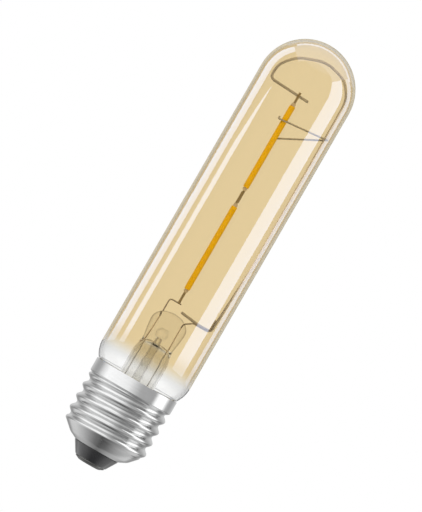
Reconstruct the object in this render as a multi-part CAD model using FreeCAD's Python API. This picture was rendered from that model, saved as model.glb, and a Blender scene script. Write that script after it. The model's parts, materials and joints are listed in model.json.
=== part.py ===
# Tubular filament lamp with an E27 screw cap, in millimetres, +Z along the axis towards the dome.
# The origin is the middle of the centre contact's outer face, the lowest point of the lamp.
# The stem's two leads lie in the XZ plane, the long support wire is at +X, and -Y is the front.
import FreeCAD, Part
import math
import os

os.makedirs("parts", exist_ok=True)
Vector = FreeCAD.Vector
origin = Vector(0, 0, 0)
axis_z = Vector(0, 0, 1)

# Screw cap shell, pressed from thin sheet with a rolled thread
thread_pitch = 3.629
crest_radius = 13.05
root_radius = 11.9
crest_land = 0.44
ridge_base = 2.5
skirt_radius = 13.1
shell_wall = 0.35
bowl_height = 3.9
thread_height = 15.0
skirt_height = 4.4
cap_hole_radius = 6.9
bowl_bend_radius = 9.5
bowl_bend_height = 1.3
bowl_round = 3.0
first_crest_height = 1.83
ridge_sunk = 0.3
ridge_turns_below = 1.0
ridge_turns_above = 0.6
runout_turns = 0.6
runout_depth = 3.1
helix_points = 12

# Moulded insulator and riveted centre contact
insulator_height = 3.55
insulator_foot_radius = 4.9
insulator_lip = 0.2
flange_radius = 8.4
flange_height = 2.4
contact_height = 1.05
contact_radius = 4.6
contact_flat_radius = 3.2
contact_edge = 0.35
shank_radius = 1.5
shank_proud = 0.6
shank_fit = 0.05
socket_depth = 3.0
socket_fit = 0.05

# Blown glass tube with its dome, shoulder and neck
tube_radius = 14.4
glass_wall = 0.8
neck_radius = 11.0
neck_taper_height = 3.3
shoulder_height = 5.35
rim_fit = 0.11

# Cement ring between neck and skirt
cement_below_rim = 0.4
cement_height = 3.2

# Stem: flare, tube and pinched press with its blow hole
stem_radius = 5.6
stem_wall = 0.9
flare_round = 4.0
stem_tube_height = 17.4
pinch_height = 5.6
cavity_height = 4.0
cavity_round = 1.4
press_waist = 4.8
press_half_width = 5.55
press_shoulder = 5.0
press_thickness = 3.8
press_height = 9.6
press_bulge_height = 4.0
press_shoulder_drop = 2.7
press_round = 1.2
blow_hole_radius = 1.9
blow_hole_height = 2.7
blow_hole_stand_off = 0.6
exhaust_radius = 1.4
exhaust_wall = 0.4
exhaust_fit = 0.1
exhaust_x = -0.4
exhaust_below_neck = 5.4
exhaust_tip_height = 2.2
exhaust_tip_radius = 0.5

# Lead wires, each an inner lead, a seal wire in the press and an outer lead
lead_radius = 0.2
seal_radius = 0.17
left_lead_x = -3.9
left_inner_x = -3.5
right_lead_x = 3.4
seal_top_drop = 2.6
seal_length = 9.8
left_lead_rise = 3.2
left_lead_past_pin = 0.85
left_lead_bend = 0.8
right_lead_bend_drop = 1.4
right_run_rise = 0.25
right_run_start = 2.5
right_run_stop = 0.45
right_upturn = 3.95
right_lead_bend = 0.8
weld_gap = 0.02

# Long support wire with its tail, wall stretch, loop and bar
support_radius = 0.4
wall_wire_gap = 1.0
foot_inset = 1.25
wall_lean_height = 22.0
wall_lean_bend = 60.0
wall_top_inset = 0.6
support_tail_length = 10.05
support_tail_rise = 0.7
support_kink_length = 4.35
support_over_lead = 0.35
foot_bend = 1.1
wall_depth = 1.0
loop_rise = 3.4
loop_top_gap = 3.5
loop_side_gap = 3.3
loop_shoulder = 3.6
loop_shoulder_drop = 1.9
loop_shoulder_forward = 2.6
loop_crown_x = 1.5
loop_depth = 7.0
loop_haunch = 3.9
loop_haunch_drop = 2.9
loop_haunch_forward = 1.0
loop_side_depth = 3.2
loop_side_drop = 0.8
loop_bend = 7.0
bar_rise = 0.5
bar_fall = 0.2
bar_past_pin = 3.3
bar_bend = 1.6
pin_above_bar = 1.05
dome_above_bar = 2.6

# Fork that holds the upper filament between its arms
fork_radius = 0.26
fork_gap = 0.05
fork_below_bar = 6.9
fork_past_wire = 0.75
front_arm_drop = 1.5
front_arm_past = 1.75
rear_arm_drop = 7.2
rear_arm_past = 0.25
hook_length = 0.8
hook_bend = 0.3
fork_bend = 0.5

# Filaments: coated strips with a metal tab and pin at each end
filament_x = -0.65
coating_width = 1.77
coating_depth = 1.3
lower_length = 27.3
upper_length = 26.8
strip_width = 0.9
strip_depth = 0.35
strip_inset = 0.9
tab_width = 1.3
tab_length = 1.05
tab_depth = 0.25
tab_taper = 0.3
pin_width = 0.75
pin_slip = 0.09
lower_pin_length = 3.65
joint_length = 4.2
joint_gap = 0.4
top_pin_length = 3.4
pin_below_lead = 0.1
chip_count = 18
chip_width = 0.55
chip_length = 0.9
chip_depth = 0.14
chip_fit = 0.02

# Driver board below the flare, with its parts, in the room between the insulator and the neck
driver_room = 10.0
board_gap = 1.8
board_radius = 9.4
board_thickness = 1.0
board_bore_radius = 2.0
hole_fit = 0.1
lead_proud = 0.8
solder_height = 0.6
solder_radius = 0.75
solder_top_radius = 0.35
capacitor_radius = 2.5
capacitor_length = 8.5
capacitor_y = 4.7
capacitor_gap = 0.2
capacitor_pitch = 2.0
capacitor_lead_out = 1.0
capacitor_lead_radius = 0.25
resistor_radius = 0.9
resistor_length = 5.0
resistor_x = -4.0
resistor_y = -3.9
resistor_drop = 3.1
resistor_lead_out = 1.2
resistor_lead_radius = 0.25
resistor_lead_bend = 0.6
sleeve_wall = 0.25
sleeve_fit = 0.05
sleeve_over = 0.3
rectifier_width = 4.0
rectifier_length = 4.6
rectifier_height = 1.5
rectifier_x = 5.0
rectifier_y = -3.6
controller_width = 2.4
controller_length = 3.0
controller_height = 1.3
controller_x = -6.6
controller_y = 0.4
sense_width = 1.9
sense_length = 1.1
sense_height = 0.5
sense_count = 3
sense_step = 2.6
sense_y = -5.4
cap_lead_radius = 0.2
cap_lead_fit = 0.05
cap_lead_y = 8.3
cap_lead_turn_height = 0.9
cap_lead_end_drop = 1.2
cap_lead_outward_drop = 2.6
cap_lead_shift_height = 1.3
cap_lead_bend = 0.6

# Heights in the cap, from the centre contact up
insulator_z = contact_height
shell_z = insulator_z + insulator_height
thread_z = shell_z + bowl_height
skirt_z = thread_z + thread_height
rim_z = skirt_z + skirt_height
flange_top_z = shell_z + flange_height
neck_end_z = flange_top_z + driver_room
shank_top_z = flange_top_z + shank_proud

# Heights of the stem and the board
flare_z = neck_end_z - stem_wall
stem_tube_z = neck_end_z + stem_tube_height
press_z = stem_tube_z + pinch_height
press_top_z = press_z + press_height
cavity_z = stem_tube_z + cavity_height
exhaust_top_z = cavity_z + cavity_round
seal_top_z = press_top_z - seal_top_drop
seal_bottom_z = seal_top_z - seal_length
board_top_z = flare_z - board_gap
board_under_z = board_top_z - board_thickness
left_run_z = press_top_z + left_lead_rise
right_run_z = press_top_z + right_run_rise

# Heights of the two filaments, welded in series
lower_pin_z = left_run_z - pin_below_lead
lower_start_z = lower_pin_z + lower_pin_length + tab_length
lower_end_z = lower_start_z + lower_length
upper_start_z = lower_end_z + tab_length + joint_length + tab_length
upper_end_z = upper_start_z + upper_length
bar_z = upper_end_z + tab_length + top_pin_length - pin_above_bar
dome_z = bar_z + dome_above_bar

# Radii and depths that follow from what a piece is welded to or fits in
glass_inner = tube_radius - glass_wall
skirt_inner = skirt_radius - shell_wall
wall_x = glass_inner - wall_wire_gap
foot_x = wall_x - foot_inset
lower_y = -(lead_radius + tab_depth / 2 + weld_gap)
upper_y = lower_y + tab_depth
bar_y = upper_y + tab_depth / 2 + weld_gap + support_radius
support_y = lead_radius + support_radius + weld_gap


def line(a, b):
    return Part.makeLine(a, b)


def flat(r, z):
    # Point in the XZ plane, at a radius and a height
    return Vector(r, 0, z)


def turned(edges, x=0.0):
    # Solid turned about the Z axis from a closed outline, then moved along X
    outline = Part.Wire(Part.__sortEdges__(edges))
    solid = Part.Face(outline).revolve(origin, axis_z, 360)
    solid.translate(Vector(x, 0, 0))
    return solid


def turned_polygon(corners, x=0.0):
    points = [flat(r, z) for r, z in corners]
    return turned(Part.makePolygon(points + points[:1]).Edges, x)


def upright(radius, low_z, high_z, x=0.0, y=0.0):
    return Part.makeCylinder(radius, high_z - low_z, Vector(x, y, low_z))


def block(width, depth, low_z, high_z, x, y):
    # Box centred on x and y
    return Part.makeBox(width, depth, high_z - low_z, Vector(x - width / 2, y - depth / 2, low_z))


def rounded_path(points, bends):
    # Straight runs joined by tangent arcs: one bend radius for each inner point, limited by its runs
    edges = []
    start = points[0]
    for before, here, after, bend in zip(points, points[1:], points[2:], bends):
        into = (here - before).normalize()
        out = (after - here).normalize()
        half = into.getAngle(out) / 2
        shorter = min((here - before).Length, (after - here).Length)
        radius = min(bend, 0.45 * shorter / math.tan(half))
        reach = radius * math.tan(half)
        inward = (out - into).normalize()
        middle = here + inward * (radius / math.cos(half) - radius)
        edges.append(line(start, here - into * reach))
        edges.append(Part.Arc(here - into * reach, middle, here + out * reach).toShape())
        start = here + out * reach
    edges.append(line(start, points[-1]))
    return edges


def bent_wire(points, bends, radius):
    # Round wire along a rounded path, one straight or arc at a time, joined end to end
    solid = None
    for edge in rounded_path(points, bends):
        begin = edge.valueAt(edge.FirstParameter)
        section = Part.Wire(Part.makeCircle(radius, begin, edge.tangentAt(edge.FirstParameter)))
        piece = Part.Wire(edge).makePipeShell([section], True, True)
        solid = piece if solid is None else solid.fuse(piece)
    return solid.removeSplitter()


def inset_outline(points, inset):
    # Outline in the XZ plane moved to its left by the inset. Its first point keeps its radius.
    runs = [(b - a).normalize() for a, b in zip(points, points[1:])]
    sides = [Vector(-run.z, 0, run.x) for run in runs]
    first = points[0] + sides[0] * inset
    moved = [first + runs[0] * ((points[0].x - first.x) / runs[0].x)]
    for point, a, b in zip(points[1:], sides, sides[1:]):
        moved.append(point + (a + b) * (inset / (1 + a.dot(b))))
    moved.append(points[-1] + sides[-1] * inset)
    return moved


def cap_outline(inset):
    # Half outline of the cap without its thread, from the hole in the bowl up to the rim
    step = skirt_radius - root_radius
    points = [
        flat(cap_hole_radius, shell_z),
        flat(bowl_bend_radius, shell_z + bowl_bend_height),
        flat(root_radius, thread_z),
        flat(root_radius, skirt_z - step / 2),
        flat(skirt_radius, skirt_z + step / 2),
        flat(skirt_radius, rim_z),
    ]
    return inset_outline(points, inset) if inset else points


def helix_curve(radius_at, z_at, turns):
    # Smooth curve through the points whose radius and height are given for each turn count
    points = []
    for turn in turns:
        angle = 2 * math.pi * turn
        radius = radius_at(turn)
        points.append(Vector(radius * math.cos(angle), radius * math.sin(angle), z_at(turn)))
    curve = Part.BSplineCurve()
    curve.interpolate(points, Parameters=turns)
    return curve


def thread_ridge(inset):
    # Helical ridge of the rolled thread, moved in by the inset. Its lower end sinks into the bowl
    # and its upper end runs into the skirt. Each side is one ruled face for each turn.
    height = crest_radius - root_radius
    flank = math.atan2(height, (ridge_base - crest_land) / 2)
    land = crest_land / 2 - inset * math.tan(flank / 2)
    spread = (ridge_base - crest_land) / 2 * (1 + ridge_sunk / height)
    first = -ridge_turns_below
    last = (thread_height - first_crest_height) / thread_pitch + ridge_turns_above
    steps = math.ceil((last - first) * helix_points)
    turns = [first + (last - first) * k / steps for k in range(steps + 1)]

    def sink(turn):
        along = min(max((first + runout_turns - turn) / runout_turns, 0.0), 1.0)
        return runout_depth * along * along * (3 - 2 * along)

    def crest_z(turn):
        return thread_z + first_crest_height + thread_pitch * turn

    def crest_r(turn):
        return crest_radius - inset - sink(turn)

    def base_r(turn):
        return root_radius - inset - ridge_sunk - sink(turn)

    curves = [
        helix_curve(base_r, lambda turn: crest_z(turn) - land - spread, turns),
        helix_curve(crest_r, lambda turn: crest_z(turn) - land, turns),
        helix_curve(crest_r, lambda turn: crest_z(turn) + land, turns),
        helix_curve(base_r, lambda turn: crest_z(turn) + land + spread, turns),
    ]
    stops = [first] + list(range(math.floor(first) + 1, math.ceil(last))) + [last]
    faces = []
    for begin, end in zip(stops, stops[1:]):
        edges = [curve.toShape(begin, end) for curve in curves]
        faces += [Part.makeRuledSurface(a, b) for a, b in zip(edges, edges[1:] + edges[:1])]
    for stop in (first, last):
        corners = [curve.value(stop) for curve in curves]
        faces.append(Part.Face(Part.makePolygon(corners + corners[:1])))
    shell = Part.makeShell(faces)
    shell.sewShape()
    solid = Part.makeSolid(shell)
    if solid.Volume < 0:
        solid.reverse()
    return solid


def cap_form(inset):
    # Filled form of the cap, thread and all, under a surface that lies the inset inside its outer one
    points = cap_outline(inset)
    edges = rounded_path(points, [bowl_round, 0.01, 0.01, 0.01])
    middle = [flat(0, rim_z), flat(0, points[0].z), points[0]]
    edges += [line(points[-1], middle[0]), line(middle[0], middle[1]), line(middle[1], middle[2])]
    return turned(edges).fuse(thread_ridge(inset))


def cap_shell():
    hole = upright(cap_hole_radius, shell_z - shell_wall, shell_z + 2 * shell_wall)
    return cap_form(0).cut(cap_form(shell_wall)).cut(hole)


def cap_insulator():
    # Moulded into the cap: a cone below the bowl, and a flange that fills the bottom of the bowl
    low, bend = cap_outline(shell_wall)[:2]
    slope = (bend.z - low.z) / (bend.x - low.x)
    bore = shank_radius + shank_fit
    return turned_polygon([
        (bore, insulator_z),
        (insulator_foot_radius, insulator_z),
        (cap_hole_radius + insulator_lip, shell_z),
        (cap_hole_radius, shell_z),
        (cap_hole_radius, low.z),
        (flange_radius, low.z + slope * (flange_radius - cap_hole_radius)),
        (flange_radius, flange_top_z),
        (bore, flange_top_z),
    ])


def centre_contact():
    # Shallow rivet: a flat face with a drawn edge, and a shank through the insulator with a socket
    body = turned_polygon([
        (0, 0),
        (contact_flat_radius, 0),
        (contact_radius, contact_height - contact_edge),
        (contact_radius, contact_height),
        (shank_radius, contact_height),
        (shank_radius, shank_top_z),
        (0, shank_top_z),
    ])
    socket = resistor_lead_radius + socket_fit
    return body.cut(upright(socket, shank_top_z - socket_depth, shank_top_z))


def glass_edges(inset):
    # Half outline of the glass from the top of the dome to the neck's end, moved in by the inset
    radius = tube_radius - inset
    neck = neck_radius - inset
    shoulder_z = rim_z + shoulder_height
    turn = 2 * math.atan((tube_radius - skirt_inner + rim_fit) / shoulder_height)
    bend = shoulder_height / math.sin(turn) - inset

    def on_shoulder(angle):
        return flat(radius - bend + bend * math.cos(angle), shoulder_z - bend * math.sin(angle))

    def on_dome(angle):
        return flat(radius * math.sin(angle), dome_z + radius * math.cos(angle))

    return [
        Part.Arc(on_dome(0), on_dome(math.pi / 4), on_dome(math.pi / 2)).toShape(),
        line(on_dome(math.pi / 2), on_shoulder(0)),
        Part.Arc(on_shoulder(0), on_shoulder(turn / 2), on_shoulder(turn)).toShape(),
        line(on_shoulder(turn), flat(neck, rim_z - neck_taper_height)),
        line(flat(neck, rim_z - neck_taper_height), flat(neck, neck_end_z)),
    ]


def glass_form(inset):
    # Filled form of the glass, under a surface that lies the inset inside its outer one
    edges = glass_edges(inset)
    top = flat(0, dome_z + tube_radius - inset)
    edges.append(line(flat(neck_radius - inset, neck_end_z), flat(0, neck_end_z)))
    edges.append(line(flat(0, neck_end_z), top))
    return turned(edges)


def glass_bulb():
    return glass_form(0).cut(glass_form(glass_wall))


def capping_cement(cap_lead):
    low = rim_z - cement_below_rim - cement_height
    ring = upright(skirt_inner, low, low + cement_height)
    return ring.cut(glass_form(0)).cut(cap_lead)


def stem_form(inset):
    # Filled form of the flare and the tube up to the pinch
    radius = stem_radius - inset
    low = flare_z if inset else neck_end_z
    bend = flare_round + inset
    corner = flat(radius + bend, low)
    middle = flat(radius + bend - bend * math.sin(math.pi / 4), low + bend - bend * math.cos(math.pi / 4))
    edges = [
        line(flat(0, low), corner),
        Part.Arc(corner, middle, flat(radius, low + bend)).toShape(),
        line(flat(radius, low + bend), flat(radius, stem_tube_z)),
        line(flat(radius, stem_tube_z), flat(0, stem_tube_z)),
        line(flat(0, stem_tube_z), flat(0, low)),
    ]
    return turned(edges)


def pinch(radius, half_width, half_depth, top_z):
    # Tube squeezed from a circle at the stem's top to a flat oval at top_z
    circle = Part.Wire(Part.makeCircle(radius, Vector(0, 0, stem_tube_z)))
    oval = Part.Ellipse(Vector(0, 0, top_z), half_width, half_depth)
    return Part.makeLoft([circle, Part.Wire(oval.toShape())], True, True)


def cavity_end(half_width, half_depth):
    # Rounded end of the cavity in the stem: half a ball, stretched to the oval below it
    stretch = FreeCAD.Matrix()
    stretch.scale(half_width, half_depth, cavity_round)
    end = Part.makeSphere(1, origin, axis_z, 0, 90).transformGeometry(stretch)
    end.translate(Vector(0, 0, cavity_z))
    return end


def press():
    # Flat glass block that holds the seal wires, with rounded edges at its front and back
    bulge_z = press_z + press_bulge_height
    shoulder_z = press_top_z - press_shoulder_drop
    front = -press_thickness / 2

    def at(x, z):
        return Vector(x, front, z)

    crown = at(0, press_top_z)

    def side_arc(side):
        low, high = at(side * press_waist, press_z), at(side * press_shoulder, shoulder_z)
        return Part.Arc(low, at(side * press_half_width, bulge_z), high).toShape()

    edges = [
        line(at(-press_waist, press_z), at(press_waist, press_z)),
        side_arc(1),
        side_arc(-1),
        Part.Arc(at(-press_shoulder, shoulder_z), crown, at(press_shoulder, shoulder_z)).toShape(),
    ]
    outline = Part.Wire(Part.__sortEdges__(edges))
    body = Part.Face(outline).extrude(Vector(0, press_thickness, 0))
    rims = [e for e in body.Edges if e.BoundBox.YLength < 0.001 and e.BoundBox.ZLength > 0.001]
    return body.makeFillet(min(press_round, 0.45 * press_thickness), rims)


def glass_stem(wires):
    outer = stem_form(0).fuse([
        upright(neck_radius, flare_z, neck_end_z),
        pinch(stem_radius, press_waist, press_thickness / 2, press_z),
        press(),
    ])
    half_width, half_depth = press_waist - stem_wall, exhaust_radius + exhaust_fit
    inner = stem_form(stem_wall).fuse([
        pinch(stem_radius - stem_wall, half_width, half_depth, cavity_z),
        cavity_end(half_width, half_depth),
    ])
    hole_z = press_z + blow_hole_height
    seat = upright(exhaust_radius, cavity_z, exhaust_top_z, exhaust_x)
    channel = upright(exhaust_radius - exhaust_wall, exhaust_top_z, hole_z, exhaust_x)
    dish_y = -press_thickness / 2 - blow_hole_stand_off
    dish = Part.makeSphere(blow_hole_radius, Vector(exhaust_x, dish_y, hole_z))
    return outer.cut(inner).cut([seat, channel.fuse(dish)]).cut(wires).removeSplitter()


def exhaust_tube():
    # Seated in the press, open at its top and melted shut at its tip
    low = neck_end_z - exhaust_below_neck
    bore = exhaust_radius - exhaust_wall
    return turned_polygon([
        (0, low),
        (exhaust_tip_radius, low),
        (exhaust_radius, low + exhaust_tip_height),
        (exhaust_radius, exhaust_top_z),
        (bore, exhaust_top_z),
        (bore, low + exhaust_tip_height),
        (0, low + exhaust_tip_height / 2),
    ], exhaust_x)


def left_inner_lead():
    end = Vector(filament_x + left_lead_past_pin, 0, left_run_z)
    corner = flat(left_inner_x, left_run_z)
    return bent_wire([flat(left_inner_x, seal_top_z), corner, end], [left_lead_bend], lead_radius)


def right_inner_lead():
    points = [
        flat(right_lead_x, seal_top_z),
        flat(right_lead_x, press_top_z - right_lead_bend_drop),
        flat(right_lead_x + right_run_start, right_run_z),
        flat(foot_x - right_run_stop, right_run_z),
        flat(foot_x - right_run_stop, right_run_z + right_upturn),
    ]
    return bent_wire(points, [right_lead_bend] * 3, lead_radius)


def seal_wire(low_x, high_x):
    # Thinner wire between two leads, level at both ends
    ends = [flat(low_x, seal_bottom_z), flat(high_x, seal_top_z)]
    return Part.makeLoft([Part.Wire(Part.makeCircle(seal_radius, end)) for end in ends], True, True)


def outer_lead(x):
    return upright(lead_radius, board_under_z - lead_proud, seal_bottom_z, x)


def support_points():
    # Route of the long wire, chosen by eye: free tail, foot, lean out to the wall, way up the wall,
    # shoulder, crown and haunch of the loop, its side, and the bar
    run_z = right_run_z + support_over_lead
    top_x = wall_x - wall_top_inset
    crown_z = dome_z + glass_inner - loop_top_gap
    side_x = -(glass_inner - loop_side_gap)
    return [
        Vector(foot_x - support_tail_length, support_y, run_z + support_tail_rise),
        Vector(foot_x - support_kink_length, support_y, run_z),
        Vector(foot_x, support_y, run_z),
        Vector(wall_x, support_y, run_z + wall_lean_height),
        Vector(top_x, wall_depth, dome_z + loop_rise),
        Vector(top_x - loop_shoulder, loop_depth - loop_shoulder_forward, crown_z - loop_shoulder_drop),
        Vector(loop_crown_x, loop_depth, crown_z),
        Vector(side_x + loop_haunch, loop_depth - loop_haunch_forward, crown_z - loop_haunch_drop),
        Vector(side_x, loop_side_depth, dome_z + loop_rise - loop_side_drop),
        Vector(side_x, bar_y, bar_z + bar_rise),
        Vector(filament_x + bar_past_pin, bar_y, bar_z - bar_fall),
    ]


def support_wire():
    bends = [foot_bend, foot_bend, wall_lean_bend] + [loop_bend] * 5 + [bar_bend]
    return bent_wire(support_points(), bends, support_radius)


def fork_support():
    # One wire bent round the wall stretch, with an arm before and an arm behind the upper filament
    low, top = support_points()[3:5]
    z = bar_z - fork_below_bar
    share = (z - low.z) / (top.z - low.z)
    wire_x = low.x + (top.x - low.x) * share
    wire_y = low.y + (top.y - low.y) * share
    clear = support_radius + fork_radius + 2 * fork_gap
    beside = coating_depth / 2 + fork_radius + fork_gap
    turn_x = wire_x + fork_past_wire
    slope = (wire_y - clear - (upper_y - beside)) / (turn_x - filament_x)
    tip_y = upper_y - beside - slope * front_arm_past
    tip = Vector(filament_x - front_arm_past, tip_y, z - front_arm_drop)
    points = [
        tip + Vector(0, 0, hook_length),
        tip,
        Vector(turn_x, wire_y - clear, z),
        Vector(turn_x, wire_y + clear, z),
        Vector(filament_x - rear_arm_past, upper_y + beside, z - rear_arm_drop),
    ]
    return bent_wire(points, [hook_bend, fork_bend, fork_bend], fork_radius)


def strip_tab(y, edge_z, up, pin_length, slip):
    # Flat tab that sits in the end of the coating, with a narrower pin that points away from it
    half = tab_width / 2
    pin = pin_width / 2
    outline = [
        (-half, -strip_inset),
        (half, -strip_inset),
        (half, tab_length - tab_taper),
        (slip + pin, tab_length),
        (slip + pin, tab_length + pin_length),
        (slip - pin, tab_length + pin_length),
        (slip - pin, tab_length),
        (-half, tab_length - tab_taper),
    ]
    points = [Vector(filament_x + x, y - tab_depth / 2, edge_z + up * z) for x, z in outline]
    return Part.Face(Part.makePolygon(points + points[:1])).extrude(Vector(0, tab_depth, 0))


def filament_strip(y, start_z, end_z):
    return block(strip_width, strip_depth, start_z + strip_inset, end_z - strip_inset, filament_x, y)


def filament_chips(y, start_z, end_z):
    # Row of light-emitting chips on the front of the strip
    length = end_z - start_z - 2 * strip_inset
    step = length / chip_count
    chip_y = y - strip_depth / 2 - chip_depth / 2
    chips = []
    for number in range(chip_count):
        middle = start_z + strip_inset + step * (number + 0.5)
        low, high = middle - chip_length / 2, middle + chip_length / 2
        chips.append(block(chip_width, chip_depth, low, high, filament_x, chip_y))
    return Part.makeCompound(chips)


def filament_coating(y, start_z, end_z):
    # Oval bar of phosphor and silicone round the strip and its chips, with a slot for each tab
    oval = Part.Ellipse(Vector(filament_x, y, start_z), coating_width / 2, coating_depth / 2)
    bar = Part.Face(Part.Wire(oval.toShape())).extrude(Vector(0, 0, end_z - start_z))
    room = chip_depth + chip_fit
    slot_y = y - room / 2
    low, high = start_z + strip_inset, end_z - strip_inset
    middle = block(strip_width, strip_depth + room, low, high, filament_x, slot_y)
    ends = [
        block(tab_width, tab_depth, start_z, low, filament_x, y),
        block(tab_width, tab_depth, high, end_z, filament_x, y),
    ]
    return bar.cut([middle] + ends)


def cap_lead():
    # Thin wire from the board, up between neck and thread, to the inside of the skirt
    between = neck_radius + cap_lead_radius + cap_lead_fit
    at_skirt = skirt_inner - cap_lead_radius - cap_lead_fit
    turn_z = board_top_z + cap_lead_turn_height
    shift_z = rim_z - cap_lead_outward_drop
    points = [
        Vector(0, cap_lead_y, board_under_z - lead_proud),
        Vector(0, cap_lead_y, turn_z),
        Vector(0, between, turn_z),
        Vector(0, between, shift_z - cap_lead_shift_height),
        Vector(0, at_skirt, shift_z),
        Vector(0, at_skirt, rim_z - cap_lead_end_drop),
    ]
    return bent_wire(points, [cap_lead_bend] * 4, cap_lead_radius)


def fusible_resistor():
    # Wirewound body below the board. One lead goes up into the board, the other down into the contact.
    z = board_under_z - resistor_drop
    half = resistor_length / 2
    body = Part.makeCylinder(
        resistor_radius, resistor_length, Vector(resistor_x - half, resistor_y, z), Vector(1, 0, 0)
    )
    up_x = resistor_x - half - resistor_lead_out
    up = bent_wire(
        [
            Vector(resistor_x - half, resistor_y, z),
            Vector(up_x, resistor_y, z),
            Vector(up_x, resistor_y, board_top_z + lead_proud),
        ],
        [resistor_lead_bend],
        resistor_lead_radius,
    )
    down = bent_wire(
        [
            Vector(resistor_x + half, resistor_y, z),
            Vector(0, resistor_y, z),
            Vector(0, 0, z),
            Vector(0, 0, shank_top_z - socket_depth),
        ],
        [resistor_lead_bend] * 2,
        resistor_lead_radius,
    )
    return body.fuse([up, down])


def resistor_sleeve():
    inner = resistor_radius + sleeve_fit
    length = resistor_length + 2 * sleeve_over
    foot = Vector(resistor_x - length / 2, resistor_y, board_under_z - resistor_drop)
    outside = Part.makeCylinder(inner + sleeve_wall, length, foot, Vector(1, 0, 0))
    return outside.cut(Part.makeCylinder(inner, length, foot, Vector(1, 0, 0)))


def smoothing_capacitor():
    z = board_under_z - capacitor_gap - capacitor_radius
    half = capacitor_length / 2
    body = Part.makeCylinder(
        capacitor_radius, capacitor_length, Vector(-half, capacitor_y, z), Vector(1, 0, 0)
    )
    legs = []
    for side in (-1, 1):
        y = capacitor_y + side * capacitor_pitch / 2
        turn_x = half + capacitor_lead_out
        points = [Vector(half, y, z), Vector(turn_x, y, z), Vector(turn_x, y, board_top_z + lead_proud)]
        legs.append(bent_wire(points, [capacitor_lead_out / 2], capacitor_lead_radius))
    return body.fuse(legs)


def wires_from_above():
    # Middle and radius of each wire that comes down through the board
    return [
        (left_lead_x, 0, lead_radius),
        (right_lead_x, 0, lead_radius),
        (0, cap_lead_y, cap_lead_radius),
    ]


def wires_from_below():
    # Middle and radius of each wire of the parts that hang below the board
    up_x = resistor_x - resistor_length / 2 - resistor_lead_out
    turn_x = capacitor_length / 2 + capacitor_lead_out
    return [
        (up_x, resistor_y, resistor_lead_radius),
        (turn_x, capacitor_y - capacitor_pitch / 2, capacitor_lead_radius),
        (turn_x, capacitor_y + capacitor_pitch / 2, capacitor_lead_radius),
    ]


def driver_board():
    board = upright(board_radius, board_under_z, board_top_z)
    holes = [upright(board_bore_radius, board_under_z, board_top_z, exhaust_x)]
    for x, y, radius in wires_from_above() + wires_from_below():
        holes.append(upright(radius + hole_fit, board_under_z, board_top_z, x, y))
    return board.cut(holes)


def solder_cone(x, y, radius, face_z, up):
    # Cone of solder round a wire, on the face of the board that the wire comes out of
    foot = Vector(x, y, face_z)
    cone = Part.makeCone(solder_radius, solder_top_radius, solder_height, foot, axis_z * up)
    return cone.cut(upright(radius, face_z - solder_height, face_z + solder_height, x, y))


def solder_joints():
    joints = [solder_cone(x, y, radius, board_under_z, -1) for x, y, radius in wires_from_above()]
    joints += [solder_cone(x, y, radius, board_top_z, 1) for x, y, radius in wires_from_below()]
    return Part.makeCompound(joints)


def sense_resistors():
    chips = []
    for number in range(sense_count):
        x = (number - (sense_count - 1) / 2) * sense_step
        chips.append(block(sense_width, sense_length, board_top_z, board_top_z + sense_height, x, sense_y))
    return Part.makeCompound(chips)


def below_board(width, depth, height, x, y):
    return block(width, depth, board_under_z - height, board_under_z, x, y)


nodes = {}

# Leads and supports
nodes["left_inner_lead"] = left_inner_lead()
nodes["right_inner_lead"] = right_inner_lead()
nodes["left_seal_wire"] = seal_wire(left_lead_x, left_inner_x)
nodes["right_seal_wire"] = seal_wire(right_lead_x, right_lead_x)
nodes["left_outer_lead"] = outer_lead(left_lead_x)
nodes["right_outer_lead"] = outer_lead(right_lead_x)
nodes["support_wire"] = support_wire()
nodes["fork_support"] = fork_support()

# Glass
in_press = ["left_inner_lead", "right_inner_lead", "left_seal_wire", "right_seal_wire"]
nodes["glass_bulb"] = glass_bulb()
nodes["glass_stem"] = glass_stem([nodes[name] for name in in_press])
nodes["exhaust_tube"] = exhaust_tube()

# Filaments, from the left lead up to the bar
ends = {
    "lower": (lower_y, lower_start_z, lower_end_z, lower_pin_length, joint_length - joint_gap, 0, -pin_slip),
    "upper": (upper_y, upper_start_z, upper_end_z, joint_length - joint_gap, top_pin_length, pin_slip, 0),
}
for place, (y, low, high, low_pin, high_pin, low_slip, high_slip) in ends.items():
    nodes[f"{place}_filament_strip"] = filament_strip(y, low, high)
    nodes[f"{place}_filament_chips"] = filament_chips(y, low, high)
    nodes[f"{place}_filament_coating"] = filament_coating(y, low, high)
    nodes[f"{place}_filament_bottom_tab"] = strip_tab(y, low, -1, low_pin, low_slip)
    nodes[f"{place}_filament_top_tab"] = strip_tab(y, high, 1, high_pin, high_slip)

# Cap
nodes["cap_lead"] = cap_lead()
nodes["cap_shell"] = cap_shell()
nodes["cap_insulator"] = cap_insulator()
nodes["centre_contact"] = centre_contact()
nodes["capping_cement"] = capping_cement(nodes["cap_lead"])

# Driver
nodes["driver_board"] = driver_board()
nodes["bridge_rectifier"] = below_board(
    rectifier_width, rectifier_length, rectifier_height, rectifier_x, rectifier_y
)
nodes["current_controller"] = below_board(
    controller_width, controller_length, controller_height, controller_x, controller_y
)
nodes["sense_resistors"] = sense_resistors()
nodes["smoothing_capacitor"] = smoothing_capacitor()
nodes["fusible_resistor"] = fusible_resistor()
nodes["resistor_sleeve"] = resistor_sleeve()
nodes["solder_joints"] = solder_joints()

for name, shape in nodes.items():
    shape.exportStep(f"parts/{name}.step")
    print(f"{name}: {len(shape.Solids)} solid, {shape.Volume:.2f} mm3, valid {shape.isValid()}")
print(f"length {dome_z + tube_radius:.2f}, diameter {2 * tube_radius:.2f}")
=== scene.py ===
import json
import math
import bpy
import bmesh
import numpy as np
from mathutils import Matrix, Vector


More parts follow.
